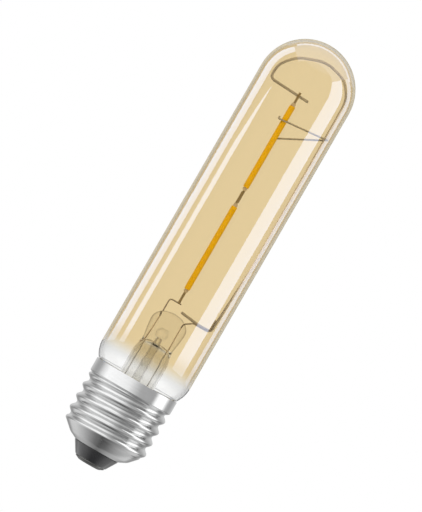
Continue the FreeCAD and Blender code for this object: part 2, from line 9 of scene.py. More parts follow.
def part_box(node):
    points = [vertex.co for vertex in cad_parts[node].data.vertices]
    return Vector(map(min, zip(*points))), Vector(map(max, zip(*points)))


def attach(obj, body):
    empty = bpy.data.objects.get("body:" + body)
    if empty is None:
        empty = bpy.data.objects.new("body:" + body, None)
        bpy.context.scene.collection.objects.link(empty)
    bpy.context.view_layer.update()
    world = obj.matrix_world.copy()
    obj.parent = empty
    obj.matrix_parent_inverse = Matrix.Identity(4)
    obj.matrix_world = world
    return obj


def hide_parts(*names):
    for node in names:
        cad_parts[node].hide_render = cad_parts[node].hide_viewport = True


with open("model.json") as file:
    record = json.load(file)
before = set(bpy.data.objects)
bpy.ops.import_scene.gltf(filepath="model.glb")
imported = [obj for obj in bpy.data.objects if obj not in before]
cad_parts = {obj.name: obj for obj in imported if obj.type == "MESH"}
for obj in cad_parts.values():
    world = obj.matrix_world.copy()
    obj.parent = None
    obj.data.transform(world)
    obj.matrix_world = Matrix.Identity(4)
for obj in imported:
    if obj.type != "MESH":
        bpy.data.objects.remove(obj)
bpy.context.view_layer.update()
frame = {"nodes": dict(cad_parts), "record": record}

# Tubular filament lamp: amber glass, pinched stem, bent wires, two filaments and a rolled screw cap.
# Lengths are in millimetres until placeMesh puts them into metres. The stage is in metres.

mm = 0.001
nodeStep = 200    # between the nodes of a tree as Blender shows it

# Degrees past which an edge is sharp, degrees between a bend's points, the share of the shorter run
# that a bend may take, and the distance in metres within which points are one
meshing = dict(sharpAngle=35, bendStep=9, bendShare=0.45, sameWithin=1e-7)


# Meshes

def fullTurn(count):
    # Angles spread evenly over one turn
    return np.linspace(0, 2 * math.pi, count, endpoint=False)


def pointGrid(x, y, z):
    # Points from three arrays that are spread to one shape
    return np.stack(np.broadcast_arrays(x, y, z), axis=-1)


def smooth(share):
    # Soft step from 0 to 1: three times the square less twice the cube
    return share * share * (3 - 2 * share)


def direction(vectors):
    # Same directions with length 1
    return vectors / np.linalg.norm(vectors, axis=-1, keepdims=True)


def addObject(name, data):
    # Object in the scene, at the origin
    added = bpy.data.objects.new(name, data)
    bpy.context.scene.collection.objects.link(added)
    return added


def gridMesh(name, grid, material, closeRows=False, closeColumns=False):
    # Quads join neighbours in a grid of points (rows by columns by xyz), and either way may close on itself
    rows, columns = grid.shape[:2]
    point = np.arange(rows * columns).reshape(rows, columns)
    point = np.pad(point, ((0, closeRows), (0, closeColumns)), "wrap")
    corners = [point[:-1, :-1], point[:-1, 1:], point[1:, 1:], point[1:, :-1]]
    mesh = bpy.data.meshes.new(name)
    mesh.from_pydata(grid.reshape(-1, 3).tolist(), [], np.stack(corners, axis=-1).reshape(-1, 4).tolist())
    mesh.materials.append(material)
    return mesh


def placeMesh(name, node, grid, material, closeRows=False, innerRows=0, innerMaterial=None):
    # Piece that stands for a CAD node, from a grid in millimetres whose columns close on themselves. A row
    # that has shrunk to a point becomes a pole. The first rows may take an inner material.
    mesh = gridMesh(name, grid * mm, material, closeRows, True)
    if innerMaterial:
        mesh.materials.append(innerMaterial)
        inner = np.arange(len(mesh.polygons)) // grid.shape[1] < innerRows
        mesh.polygons.foreach_set("material_index", inner.astype(np.int32))
    work = bmesh.new()
    work.from_mesh(mesh)
    bmesh.ops.remove_doubles(work, verts=work.verts, dist=meshing["sameWithin"])
    work.to_mesh(mesh)
    work.free()
    mesh.polygons.foreach_set("use_smooth", np.ones(len(mesh.polygons), bool))
    mesh.set_sharp_from_angle(angle=math.radians(meshing["sharpAngle"]))
    piece = addObject(name, mesh)
    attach(piece, "root")
    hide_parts(node)
    return piece


def roundedRoute(points, bends):
    # Straight runs joined by tangent arcs: each arc's points turn evenly about the bend's centre
    points = [np.array(p, float) for p in points]
    route = [points[0]]
    for before, here, after, bend in zip(points, points[1:], points[2:], bends):
        into, out = direction(here - before), direction(after - here)
        half = math.acos(np.clip(into @ out, -1, 1)) / 2
        shorter = min(np.linalg.norm(here - before), np.linalg.norm(after - here))
        radius = min(bend, meshing["bendShare"] * shorter / math.tan(half))
        start = here - into * radius * math.tan(half)
        side = direction(out - into)
        centre = here + side * radius / math.cos(half)
        count = max(3, int(math.degrees(2 * half) / meshing["bendStep"]) + 1)
        angles = np.linspace(0, 2 * half, count)[:, None]
        route.extend(centre + np.sin(angles) * into * radius + np.cos(angles) * (start - centre))
    route.append(points[-1])
    return np.array(route)


def turnedGrid(profile, columns, x=0):
    # Profile of (radius, height) carried round the Z axis: x = r cos a, y = r sin a
    profile = np.asarray(profile, float)
    radius, height, angle = profile[:, :1], profile[:, 1:], fullTurn(columns)
    return pointGrid(x + radius * np.cos(angle), radius * np.sin(angle), height)


def outline(points, bends):
    # Rounded outline of (radius, height), made in the XZ plane
    return roundedRoute([(r, 0, z) for r, z in points], bends)[:, [0, 2]]


def wireGrid(route, radius, columns=20, edge=0.3):
    # Circle carried along a route: each frame is the one before, turned with the tangent.
    # Both ends close with a small rounded edge.
    route = np.asarray(route, float)
    step = direction(np.diff(route, axis=0))
    tangent = direction(np.vstack([step[:1], step[:-1] + step[1:], step[-1:]]))
    helper = np.array([0, 1, 0.02]) if abs(tangent[0][1]) < 0.9 else np.array([1, 0, 0.02])
    side = np.cross(tangent[0], helper)
    sides = []
    for t in tangent:
        side = direction(side - t * (side @ t))
        sides.append(side)
    sides = np.array(sides)
    others = np.cross(tangent, sides)
    share = np.array([0, 1 - edge, 1 - edge * 0.3, 1])
    ahead = np.array([0, 0, edge * 0.3, edge]) * radius
    centres = np.vstack([route[0] + ahead[:, None] * tangent[0], route[1:-1],
                         route[-1] - ahead[::-1, None] * tangent[-1]])
    size = np.concatenate([share, np.ones(len(route) - 2), share[::-1]]) * radius
    pick = np.concatenate([np.zeros(4, int), np.arange(1, len(route) - 1), np.full(4, len(route) - 1)])
    angle = fullTurn(columns)[None, :, None]
    spread = np.cos(angle) * sides[pick][:, None] + np.sin(angle) * others[pick][:, None]
    return centres[:, None] + size[:, None, None] * spread


def addWire(node, points, bends, radius, material):
    # Circle carried along its rounded route. The piece has the node's name without its underscores.
    first, *others = node.split("_")
    name = first + "".join(word.capitalize() for word in others)
    placeMesh(name, node, wireGrid(roundedRoute(points, bends), radius), material)


# Node groups and materials

def setInputs(node, values):
    # Plain values of a node's inputs, by name or number
    for key, value in values.items():
        node.inputs[key].default_value = value


def addNode(tree, kind, values={}, **settings):
    # Node to the right of the others, with its settings and then its inputs' plain values
    node = tree.nodes.new("ShaderNode" + kind)
    node.location = (nodeStep * len(tree.nodes), 0)
    for key, value in settings.items():
        setattr(node, key, value)
    setInputs(node, values)
    return node


def joinNodes(*links):
    # Each link: the node it leaves, its output, the node it enters, its input
    for leaves, output, enters, entry in links:
        leaves.id_data.links.new(leaves.outputs[output], enters.inputs[entry])


def addSpan(tree, low, high, least=0, most=1, way="LINEAR"):
    # Goes from the least to the most between two values
    span = {"From Min": low, "From Max": high, "To Min": least, "To Max": most}
    return addNode(tree, "MapRange", span, interpolation_type=way)


def endWith(node, output="Material Output"):
    # The node's shader becomes the surface
    joinNodes((node, 0, node.id_data.nodes[output], "Surface"))


def startGroup(name, inputs, outputs):
    # Node group with named sockets for numbers
    group = bpy.data.node_groups.new(name, "ShaderNodeTree")
    for side, labels in (("INPUT", inputs), ("OUTPUT", outputs)):
        for label in labels:
            group.interface.new_socket(label, in_out=side, socket_type="NodeSocketFloat")
    return group


pattern = dict(
    coarseDetail=3,
    fineDetail=5,
    fineShare=0.35,            # of the fine noise in the mask
    noiseRange=(0.3, 0.7),     # of the noise, stretched to a mask from 0 to 1
    ringScale=(60, 60, 2600),  # of the rings' noise: across the axis twice, then along it
    ringDetail=3,
    relief=0.0001,             # depth of the fine relief in metres
)


def buildUnevenGroup():
    # Two sizes of noise on object coordinates: a mask from 0 to 1 for colour and gloss, and a height
    group = startGroup("unevenFinish", ["Coarse Scale", "Fine Scale"], ["Mask", "Height"])
    inlet = group.nodes.new("NodeGroupInput")
    place = addNode(group, "TexCoord")
    coarse = addNode(group, "TexNoise", {"Detail": pattern["coarseDetail"]})
    fine = addNode(group, "TexNoise", {"Detail": pattern["fineDetail"]})
    blend = addNode(group, "Mix", {"Factor": pattern["fineShare"]}, data_type="FLOAT")
    stretch = addSpan(group, *pattern["noiseRange"])
    outlet = group.nodes.new("NodeGroupOutput")
    joinNodes((place, "Object", coarse, "Vector"), (place, "Object", fine, "Vector"),
              (inlet, "Coarse Scale", coarse, "Scale"), (inlet, "Fine Scale", fine, "Scale"),
              (coarse, "Fac", blend, "A"), (fine, "Fac", blend, "B"), (blend, "Result", stretch, "Value"),
              (stretch, "Result", outlet, "Mask"), (fine, "Fac", outlet, "Height"))
    return group


def buildRingsGroup():
    # Fine lines round the axis: noise whose X and Y are squeezed, so that it changes almost only with height
    group = startGroup("spunRings", [], ["Height"])
    place = addNode(group, "TexCoord")
    squeeze = addNode(group, "Mapping", {"Scale": pattern["ringScale"]})
    noise = addNode(group, "TexNoise", {"Scale": 1, "Detail": pattern["ringDetail"]})
    outlet = group.nodes.new("NodeGroupOutput")
    joinNodes((place, "Object", squeeze, "Vector"), (squeeze, "Vector", noise, "Vector"),
              (noise, "Fac", outlet, "Height"))
    return group


unevenGroup = buildUnevenGroup()
ringsGroup = buildRingsGroup()


def startMaterial(name, values={}):
    # Material with its own shader and the shader's plain values
    material = bpy.data.materials.new(name)
    material.use_nodes = True
    shader = material.node_tree.nodes["Principled BSDF"]
    setInputs(shader, values)
    return material, material.node_tree, shader


def rampAlong(tree, axis, low, high, least=0, most=1, way="SMOOTHSTEP", unit=mm):
    # Value that goes from the least to the most between two places along an axis of the object
    place = addNode(tree, "TexCoord")
    parts = addNode(tree, "SeparateXYZ")
    ramp = addSpan(tree, low * unit, high * unit, least, most, way)
    joinNodes((place, "Object", parts, "Vector"), (parts, axis, ramp, "Value"))
    return ramp


def finish(name, light, dark, roughness, metallic, coarse, fine, bump, coat=0, rings=0, specular=0.5):
    # Plain finish: the uneven mask mixes two colours and two roughnesses, its height makes a fine bump.
    # Rings are fine lines round the axis, as a spun or rolled piece has.
    own = {"Metallic": metallic, "Coat Weight": coat, "Specular IOR Level": specular}
    material, tree, shader = startMaterial(name, own)
    uneven = addNode(tree, "Group", {"Coarse Scale": coarse, "Fine Scale": fine}, node_tree=unevenGroup)
    colour = addNode(tree, "Mix", {"A": (*dark, 1), "B": (*light, 1)}, data_type="RGBA")
    gloss = addSpan(tree, 0, 1, *roughness)
    depth = pattern["relief"]
    relief = addNode(tree, "Bump", {"Strength": bump, "Distance": depth})
    joinNodes((uneven, "Mask", colour, "Factor"), (uneven, "Mask", gloss, "Value"),
              (uneven, "Height", relief, "Height"), (colour, "Result", shader, "Base Color"),
              (gloss, "Result", shader, "Roughness"), (relief, "Normal", shader, "Normal"))
    if rings:
        lines = addNode(tree, "Group", node_tree=ringsGroup)
        turned = addNode(tree, "Bump", {"Strength": rings, "Distance": depth})
        joinNodes((lines, "Height", turned, "Height"), (turned, "Normal", relief, "Normal"))
    return material


def mixOver(material, giver, colour):
    # Third colour over a plain finish, by the share that a node gives
    tree = material.node_tree
    shader = tree.nodes["Principled BSDF"]
    plain = shader.inputs["Base Color"].links[0].from_node
    over = addNode(tree, "Mix", {"B": (*colour, 1)}, data_type="RGBA")
    joinNodes((plain, "Result", over, "A"), (giver, 0, over, "Factor"),
              (over, "Result", shader, "Base Color"))
    return material


glass = dict(
    amber=(0.932, 0.826, 0.614),
    clear=(0.955, 0.958, 0.955),
    stem=(0.88, 0.87, 0.84),
    amberEdge=(0.72, 0.5, 0.22),    # of the tint where the skin turns away
    stemEdge=(0.26, 0.2, 0.13),     # painted shade: dark brown where the press turns away
    amberRise=(31.6, 37.5),         # heights where the tint begins and where it is full
    stemRise=(38, 43),              # heights where the press's painted shade begins and is full
    amberTurn=(0.2, 2),             # blend of the turn away, and its power
    stemTurn=(0.5, 1),
    wave=0.02,                      # unevenness of the blown wall
    waveDepth=0.001,
    waveScales=(30, 60),
    amberIor=1.25,                  # low, because the wall is thin and its inner gleams are faint
    stemIor=1.45,
    shineIor=2,                     # of the outer skin, which carries the clear gleams
)


def glassFinish(name, tinted, shiny):
    # Clear glass that lets lamps through. Its colour deepens where it turns away, by a ramp over height; on
    # the stem's press this is painted shade.
    # The tint is a ramp too, from clear to amber. The outer skin gleams where it is seen from outside.
    kind = "amber" if tinted else "stem"
    plain = (*glass["clear" if tinted else "stem"], 1)
    own = {"Transmission Weight": 1, "Roughness": 0, "IOR": glass[kind + "Ior"], "Base Color": plain}
    material, tree, shader = startMaterial(name, own)
    if shiny:
        setInputs(shader, {"Coat Roughness": 0, "Coat IOR": glass["shineIor"]})
        sides = addNode(tree, "NewGeometry")
        outside = addNode(tree, "Math", {0: 1}, operation="SUBTRACT")
        joinNodes((sides, "Backfacing", outside, 1), (outside, "Value", shader, "Coat Weight"))
    through = addNode(tree, "BsdfTransparent", {"Color": (*glass["clear"], 1)})
    blend, power = glass[kind + "Turn"]
    height = rampAlong(tree, "Z", *glass[kind + "Rise"])
    edge = addNode(tree, "LayerWeight", {"Blend": blend})
    turned = addNode(tree, "Math", {1: power}, operation="POWER")
    share = addNode(tree, "Math", operation="MULTIPLY")
    # On the stem this mix paints shade, dark brown where the press turns away; on the amber wall it deepens
    # the tint
    deeper = addNode(tree, "Mix", {"A": plain, "B": (*glass[kind + "Edge"], 1)}, data_type="RGBA")
    joinNodes((edge, "Facing", turned, 0), (turned, "Value", share, 0), (height, "Result", share, 1),
              (share, "Value", deeper, "Factor"), (deeper, "Result", shader, "Base Color"))
    if tinted:
        tint = addNode(tree, "Mix", {"A": plain, "B": (*glass["amber"], 1)}, data_type="RGBA")
        joinNodes((height, "Result", tint, "Factor"), (tint, "Result", deeper, "A"),
                  (tint, "Result", through, "Color"))
    coarse, fine = glass["waveScales"]
    uneven = addNode(tree, "Group", {"Coarse Scale": coarse, "Fine Scale": fine}, node_tree=unevenGroup)
    relief = addNode(tree, "Bump", {"Strength": glass["wave"], "Distance": glass["waveDepth"]})
    path = addNode(tree, "LightPath")
    both = addNode(tree, "MixShader")
    joinNodes((uneven, "Height", relief, "Height"), (relief, "Normal", shader, "Normal"),
              (path, "Is Shadow Ray", both, "Fac"), (shader, "BSDF", both, 1), (through, "BSDF", both, 2))
    endWith(both)
    return material


# Each finish: light and dark colour, least and most roughness, metallic, scale of the coarse and of the
# fine noise and bump, and where it has them coat, rings and specular level
finishTable = {
    "platedSteel": ((0.64, 0.645, 0.645), (0.56, 0.56, 0.56), (0.09, 0.15), 1, 90, 1800, 0.03, 0, 0.35),
    "blackInsulator": ((0.016, 0.016, 0.018), (0.008, 0.008, 0.009), (0.12, 0.2), 0, 200, 3000, 0.04, 0.95),
    "contactMetal": ((0.18, 0.18, 0.175), (0.12, 0.12, 0.115), (0.22, 0.38), 1, 250, 2500, 0.1),
    "wireMetal": ((0.27, 0.245, 0.225), (0.19, 0.165, 0.15), (0.45, 0.6), 0.3, 400, 6000, 0.15),
    "supportMetal": ((0.36, 0.35, 0.35), (0.25, 0.24, 0.24), (0.35, 0.5), 0.25, 300, 5000, 0.1),
    "leadMetal": ((0.52, 0.52, 0.53), (0.38, 0.38, 0.39), (0.35, 0.5), 0.4, 400, 6000, 0.1),
    "copperSkin": ((0.62, 0.54, 0.47), (0.48, 0.41, 0.35), (0.35, 0.5), 0.4, 500, 6000, 0.1),
    "phosphorCoat": ((0.7, 0.45, 0.0002), (0.64, 0.39, 0.0002), (0.6, 0.75), 0, 500, 5000, 0.25, 0, 0, 0.06),
    "chipFinish": ((0.4, 0.46, 0.62), (0.3, 0.35, 0.52), (0.15, 0.3), 0, 800, 6000, 0.05),
    "cementFinish": ((0.84, 0.84, 0.83), (0.72, 0.72, 0.7), (0.75, 0.9), 0, 300, 3000, 0.5),
    "boardFinish": ((0.74, 0.76, 0.7), (0.66, 0.68, 0.62), (0.35, 0.5), 0, 200, 3000, 0.1),
    "packageFinish": ((0.03, 0.03, 0.033), (0.018, 0.018, 0.02), (0.45, 0.6), 0, 500, 6000, 0.2),
    "capacitorFinish": ((0.03, 0.04, 0.08), (0.02, 0.025, 0.05), (0.25, 0.4), 0, 300, 3000, 0.05),
    "resistorFinish": ((0.12, 0.22, 0.13), (0.08, 0.16, 0.09), (0.5, 0.65), 0, 400, 5000, 0.2),
    "sleeveFinish": ((0.74, 0.72, 0.64), (0.6, 0.58, 0.5), (0.7, 0.85), 0, 700, 7000, 0.5),
    "solderFinish": ((0.62, 0.62, 0.63), (0.48, 0.48, 0.49), (0.25, 0.4), 1, 600, 5000, 0.15),
}
amberGlass = glassFinish("amberGlass", True, True)
amberInside = glassFinish("amberInside", True, False)
clearGlass = glassFinish("clearGlass", False, False)
finishes = {name: finish(name, *values) for name, values in finishTable.items()}

# Finish of a filament's tab, the colour of its pin, and where along the tab that begins and is full
tab = dict(finish=((0.5, 0.45, 0.4), (0.4, 0.35, 0.3), (0.35, 0.5), 0.5, 500, 6000, 0.1),
           pin=(0.22, 0.18, 0.11), begin=0.95, full=1.15)


def tabFinish(name, edge, up):
    # Metal of a filament's tab: plated and light beside the coating, dark from its neck to the pin's end
    material = finish(name, *tab["finish"])
    begin, full = edge + up * tab["begin"], edge + up * tab["full"]
    along = rampAlong(material.node_tree, "Z", begin, full, way="LINEAR")
    return mixOver(material, along, tab["pin"])


# Finish of the long wire, the colour of its painted gleam, where that begins and is full outward and upward,
# and its share over the loop
longWire = dict(finish=((0.35, 0.34, 0.34), (0.24, 0.23, 0.23), (0.35, 0.5), 0.25, 300, 5000, 0.1),
                bright=(0.75, 0.73, 0.77), outward=(11.7, 12.3), upward=(125, 132), loopShare=0.28)


def longWireWithPaintedGleam():
    # Metal of the long wire with a painted gleam: lighter and bluish where it runs along the wall and over
    # the loop, plain at its two ends
    material = finish("supportWireMetal", *longWire["finish"])
    tree = material.node_tree
    outward = rampAlong(tree, "X", *longWire["outward"])
    upward = rampAlong(tree, "Z", *longWire["upward"], most=longWire["loopShare"])
    most = addNode(tree, "Math", operation="MAXIMUM")
    joinNodes((outward, "Result", most, 0), (upward, "Result", most, 1))
    # Painted gleam: the light bluish colour mixed over the wall stretch and the loop
    return mixOver(material, most, longWire["bright"])


print("materials ready")


# Glass

bulb = dict(radius=14.4, wall=0.8, domeHeight=123.8, neckRadius=11, neckEnd=17,
            taperEnd=24.6, shoulderRadius=9.007, shoulderStart=33.25, shoulderTurn=36.44,
            tubeRows=12, domeRows=28, columns=160)
glassPieces = []


def bulbProfile(inset):
    # Neck, taper, shoulder arc, straight tube and quarter circle of the dome, all moved in by the inset
    radius, bend = bulb["radius"] - inset, bulb["shoulderRadius"] - inset
    neck = bulb["neckRadius"] - inset
    turn = np.radians(np.linspace(bulb["shoulderTurn"], 0, bulb["tubeRows"]))
    shoulder = np.stack([radius - bend + bend * np.cos(turn), bulb["shoulderStart"] - bend * np.sin(turn)], 1)
    rise = np.radians(np.linspace(0, 90, bulb["domeRows"]))
    dome = np.stack([radius * np.cos(rise), bulb["domeHeight"] + radius * np.sin(rise)], 1)
    dome[-1, 0] = 0
    heights = np.linspace(bulb["shoulderStart"], bulb["domeHeight"], bulb["tubeRows"])[1:-1]
    tube = [(radius, z) for z in heights]
    return np.vstack([[(neck, bulb["neckEnd"]), (neck, bulb["taperEnd"])], shoulder, tube, dome])


def addBulb():
    # One closed wall: down the inside from its pole, round the neck's end, up the outside to its pole
    inside = bulbProfile(bulb["wall"])[::-1]
    profile = np.vstack([inside, bulbProfile(0)])
    piece = placeMesh("glassBulb", "glass_bulb", turnedGrid(profile, bulb["columns"]),
                      amberGlass, innerRows=len(inside), innerMaterial=amberInside)
    glassPieces.append(piece)


stem = dict(tubeRadius=5.6, wall=0.9, flareRound=4, flareHeight=16.1, neckEnd=17,
            tubeTop=34.4, ceiling=38.4, cavityRound=1.4, pressStart=40, pressTop=49.6,
            waist=4.8, halfWidth=5.55, halfDepth=1.9, edge=1.2, bulge=6.9, crownStart=45.2,
            crownPower=2.3, pressPower=4.2, holeX=-0.4, holeHeight=42.7, holeRadius=1.75,
            holeDepth=1.2, front=-0.6, channel=1, channelTop=41.4, channelRound=0.4,
            boreGap=0.03, pinchGap=0.1, flareRows=14, squeezeRows=24, pressRows=60, pinchRows=18,
            cavityRows=9, columns=176)


def stemOuter():
    # Flare, tube, squeeze from circle to flat oval, and press: half width and half depth over height,
    # with a rounded rectangle in place of the oval where the glass is pressed
    s = stem
    start, top, tube, waist = s["pressStart"], s["pressTop"], s["tubeRadius"], s["waist"]
    turn = np.radians(np.linspace(0, 90, s["flareRows"]))
    flare = tube + s["flareRound"] * (1 - np.sin(turn))
    flareZ = s["neckEnd"] + s["flareRound"] * (1 - np.cos(turn))
    low = np.array([(bulb["neckRadius"], s["flareHeight"]), (bulb["neckRadius"], s["neckEnd"])])
    squeeze = np.linspace(0, 1, s["squeezeRows"])
    ease = smooth(squeeze)
    squeezeZ = s["tubeTop"] + (start - s["tubeTop"]) * squeeze
    squeezeW = tube + (waist - tube) * ease
    squeezeD = tube + (s["halfDepth"] - tube) * ease
    share = np.linspace(0, 1, s["pressRows"])[1:]
    pressZ = start + (top - start) * np.sin(share * math.pi / 2)
    bulge = np.sin(np.clip((pressZ - start) / s["bulge"], 0, 1) * math.pi / 2)
    side = waist + (s["halfWidth"] - waist) * bulge
    crown = np.clip((pressZ - s["crownStart"]) / (top - s["crownStart"]), 0, 1)
    pressW = side * np.sqrt(1 - crown ** s["crownPower"])
    rim = np.clip((pressZ - top + s["edge"]) / s["edge"], 0, 1)
    pressD = np.where(rim >= 1, 0, s["halfDepth"] - s["edge"] * (1 - np.sqrt(1 - rim ** 2)))
    height = np.concatenate([low[:, 1], flareZ, squeezeZ, pressZ])
    width = np.concatenate([low[:, 0], flare, squeezeW, pressW])
    depth = np.concatenate([low[:, 0], flare, squeezeD, pressD])
    oval, pressed = np.full(len(low) + len(flare), 2), np.full(len(share), s["pressPower"])
    power = np.concatenate([oval, 2 + (s["pressPower"] - 2) * ease, pressed])
    angle = fullTurn(s["columns"])
    cos, sin = np.cos(angle), np.sin(angle)
    exponent = (2 / power)[:, None]
    x = width[:, None] * np.sign(cos) * np.abs(cos) ** exponent
    y = depth[:, None] * np.sign(sin) * np.abs(sin) ** exponent
    z = height[:, None]
    away = np.hypot(x - s["holeX"], z - s["holeHeight"]) / s["holeRadius"]
    dent = s["holeDepth"] * np.where(away < 1, np.sqrt(np.clip(1 - away ** 2, 0, 1)), 0)
    return pointGrid(x, np.where(y < s["front"], y + dent, y), z)


def stemInner():
    # Bore of the flare and tube, its pinched and rounded end, and the channel up to the blow hole
    s = stem
    radius = s["tubeRadius"] - s["wall"]
    bend = s["flareRound"] + s["wall"]
    turn = np.radians(np.linspace(0, 90, s["flareRows"]))
    flare = np.stack([radius + bend * (1 - np.sin(turn)), s["flareHeight"] + bend * (1 - np.cos(turn))], 1)
    rise = np.linspace(0, 1, s["pinchRows"])[1:]
    ease = smooth(rise)
    height = s["tubeTop"] + (s["ceiling"] - s["tubeTop"]) * rise
    angle = fullTurn(s["columns"])
    around = exhaust["radius"] + s["boreGap"]
    endW, endD = s["waist"] - s["wall"], exhaust["radius"] + s["pinchGap"]
    arc = np.radians(np.linspace(0, 90, s["cavityRows"])[1:])
    width = np.concatenate([radius + (endW - radius) * ease, around + (endW - around) * np.cos(arc)])
    depth = np.concatenate([radius + (endD - radius) * ease, around + (endD - around) * np.cos(arc)])
    middle = np.concatenate([0 * ease, s["holeX"] * (1 - np.cos(arc))])
    height = np.concatenate([height, s["ceiling"] + s["cavityRound"] * np.sin(arc)])
    pinch = pointGrid(middle[:, None] + width[:, None] * np.cos(angle), depth[:, None] * np.sin(angle),
                      height[:, None])
    low, top, bend = s["ceiling"] + s["cavityRound"], s["channelTop"], s["channelRound"]
    channel = turnedGrid([(s["channel"], low), (s["channel"], top - bend),
                          (s["channel"] * 0.8, top - bend / 4), (0, top)], s["columns"], s["holeX"])
    return np.concatenate([turnedGrid(flare, s["columns"]), pinch, channel])


exhaust = dict(x=-0.4, radius=1.4, bore=1, low=11.6, tip=2.2, tipRadius=0.7, high=39.75,
               bends=[0.4, 1.5], columns=48)


def addStem():
    # One closed wall: down the bore from its end, up the outside to the top of the press
    grid = np.concatenate([stemInner()[::-1], stemOuter()])
    glassPieces.append(placeMesh("glassStem", "glass_stem", grid, clearGlass))


def addExhaust():
    # Tube open at the press and melted shut at its tip: outside from the tip up, then inside down
    low, top = exhaust["low"], exhaust["high"]
    inside = [(exhaust["bore"], top), (exhaust["bore"], low + exhaust["tip"]), (0, low + exhaust["tip"] / 2)]
    outside = outline([(0, low), (exhaust["tipRadius"], low), (exhaust["radius"], low + exhaust["tip"]),
                       (exhaust["radius"], top)], exhaust["bends"])
    grid = turnedGrid(np.concatenate([outside, inside]), exhaust["columns"], exhaust["x"])
    glassPieces.append(placeMesh("exhaustTube", "exhaust_tube", grid, clearGlass))


addBulb()
addStem()
addExhaust()
print("glass ready")


# Wires

filament = dict(x=-0.65, width=1.77, depth=1.3, lowerY=-0.345, upperY=-0.095, endRound=0.12,
                endShrink=0.1, lumps=0.02, lumpWaves=(4.1, 1.7), rows=90, columns=40)
leads = dict(radius=0.2, sealRadius=0.17, leftX=-3.9, leftInnerX=-3.5, rightX=3.4,
             sealTop=47, sealLow=37.2, low=12.6, leftRun=52.8, leftEnd=0.2,
             rightBend=48.2, rightRun=49.85, rightStart=5.9, rightStop=10.9, rightTop=53.8, bend=0.8)


def addLeads():
    # Inner leads above the press, seal wires in it and outer leads down to the board
    left, inner, right = leads["leftX"], leads["leftInnerX"], leads["rightX"]
    low, high, bend, radius = leads["sealLow"], leads["sealTop"], leads["bend"], leads["radius"]
    turn, run, stop, metal = leads["leftRun"], leads["rightRun"], leads["rightStop"], finishes["wireMetal"]
    addWire("left_inner_lead", [(inner, 0, high), (inner, 0, turn), (leads["leftEnd"], 0, turn)],
            [bend], radius, metal)
    route = [(right, 0, high), (right, 0, leads["rightBend"]), (leads["rightStart"], 0, run), (stop, 0, run),
             (stop, 0, leads["rightTop"])]
    addWire("right_inner_lead", route, [bend] * 3, radius, metal)
    for side, x, highX in (("left", left, inner), ("right", right, right)):
        addWire(side + "_seal_wire", [(x, 0, low), (highX, 0, high)], [], leads["sealRadius"],
                finishes["copperSkin"])
        addWire(side + "_outer_lead", [(x, 0, leads["low"]), (x, 0, low)], [], radius, finishes["leadMetal"])


support = dict(radius=0.4, y=0.62, footX=11.35, run=50.2, tail=10.05, tailRise=0.7,
               kink=4.35, wall=(12.6, 0.62, 72.2), top=(12, 1, 127.2),
               loop=[(8.4, 4.4, 132), (1.5, 7, 133.9), (-6.4, 6, 131), (-10.3, 3.2, 126.4)],
               bar=[(-10.3, 0.45, 121.7), (2.65, 0.45, 121)], bends=[1.1, 1.1, 60, 7, 7, 7, 7, 7, 1.6])


def addSupport():
    # Long wire: tail, foot, lean out to the wall, way up it, loop under the dome and bar
    y, foot, run = support["y"], support["footX"], support["run"]
    route = [(foot - support["tail"], y, run + support["tailRise"]), (foot - support["kink"], y, run),
             (foot, y, run), support["wall"], support["top"], *support["loop"], *support["bar"]]
    addWire("support_wire", route, support["bends"], support["radius"], longWireWithPaintedGleam())


fork = dict(radius=0.26, height=114.3, gap=0.05, pastWire=0.75, frontDrop=1.5, frontPast=1.75,
            hook=0.8, rearDrop=7.2, rearPast=0.25, bends=[0.3, 0.5, 0.5])


def addFork():
    # One wire bent round the wall stretch, with an arm before and an arm behind the upper filament.
    # The front arm's slope runs on past the filament to its tip.
    low, high = support["wall"], support["top"]
    share = (fork["height"] - low[2]) / (high[2] - low[2])
    wireX = low[0] + (high[0] - low[0]) * share
    wireY = low[1] + (high[1] - low[1]) * share
    clear = support["radius"] + fork["radius"] + 2 * fork["gap"]
    beside = filament["depth"] / 2 + fork["radius"] + fork["gap"]
    turnX = wireX + fork["pastWire"]
    slope = (wireY - clear - (filament["upperY"] - beside)) / (turnX - filament["x"])
    x, z = filament["x"] - fork["frontPast"], fork["height"] - fork["frontDrop"]
    y = filament["upperY"] - beside - slope * fork["frontPast"]
    rear = (filament["x"] - fork["rearPast"], filament["upperY"] + beside, fork["height"] - fork["rearDrop"])
    addWire("fork_support", [(x, y, z + fork["hook"]), (x, y, z), (turnX, wireY - clear, fork["height"]),
                             (turnX, wireY + clear, fork["height"]), rear],
            fork["bends"], fork["radius"], finishes["supportMetal"])


addLeads()
addSupport()
addFork()
print("wires ready")


# Filaments

def addCoating(place, y, low, high):
    # Oval bar: half width and half depth over height, drawn in a little at both ends, faintly lumpy
    steps, angle = np.linspace(0, 1, filament["rows"]), fullTurn(filament["columns"])
    z = (low + (high - low) * (smooth(steps) + steps) / 2)[:, None]
    near = np.minimum(z - low, high - z)
    fast, slow = filament["lumpWaves"]
    lumps = 1 - filament["lumps"] * (0.5 + 0.5 * np.sin(z * fast) * np.sin(z * slow + 1))
    size = lumps * (1 - filament["endShrink"] * np.exp(-near / filament["endRound"])) / 2
    bar = pointGrid(filament["x"] + filament["width"] * size * np.cos(angle),
                    y + filament["depth"] * size * np.sin(angle), z)
    caps = [np.broadcast_to([filament["x"], y, end], (1, len(angle), 3)) for end in (low, high)]
    placeMesh(place + "Coating", place + "_filament_coating",
              np.concatenate([caps[0], bar, caps[1]]), finishes["phosphorCoat"])


def boxOf(node):
    # Lowest and highest corner of a node in millimetres
    low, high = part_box(node)
    return np.array(low) / mm, np.array(high) / mm


for place, y in (("lower", filament["lowerY"]), ("upper", filament["upperY"])):
    low, high = boxOf(place + "_filament_coating")
    addCoating(place, y, low[2], high[2])
print("filaments ready")


# Cap

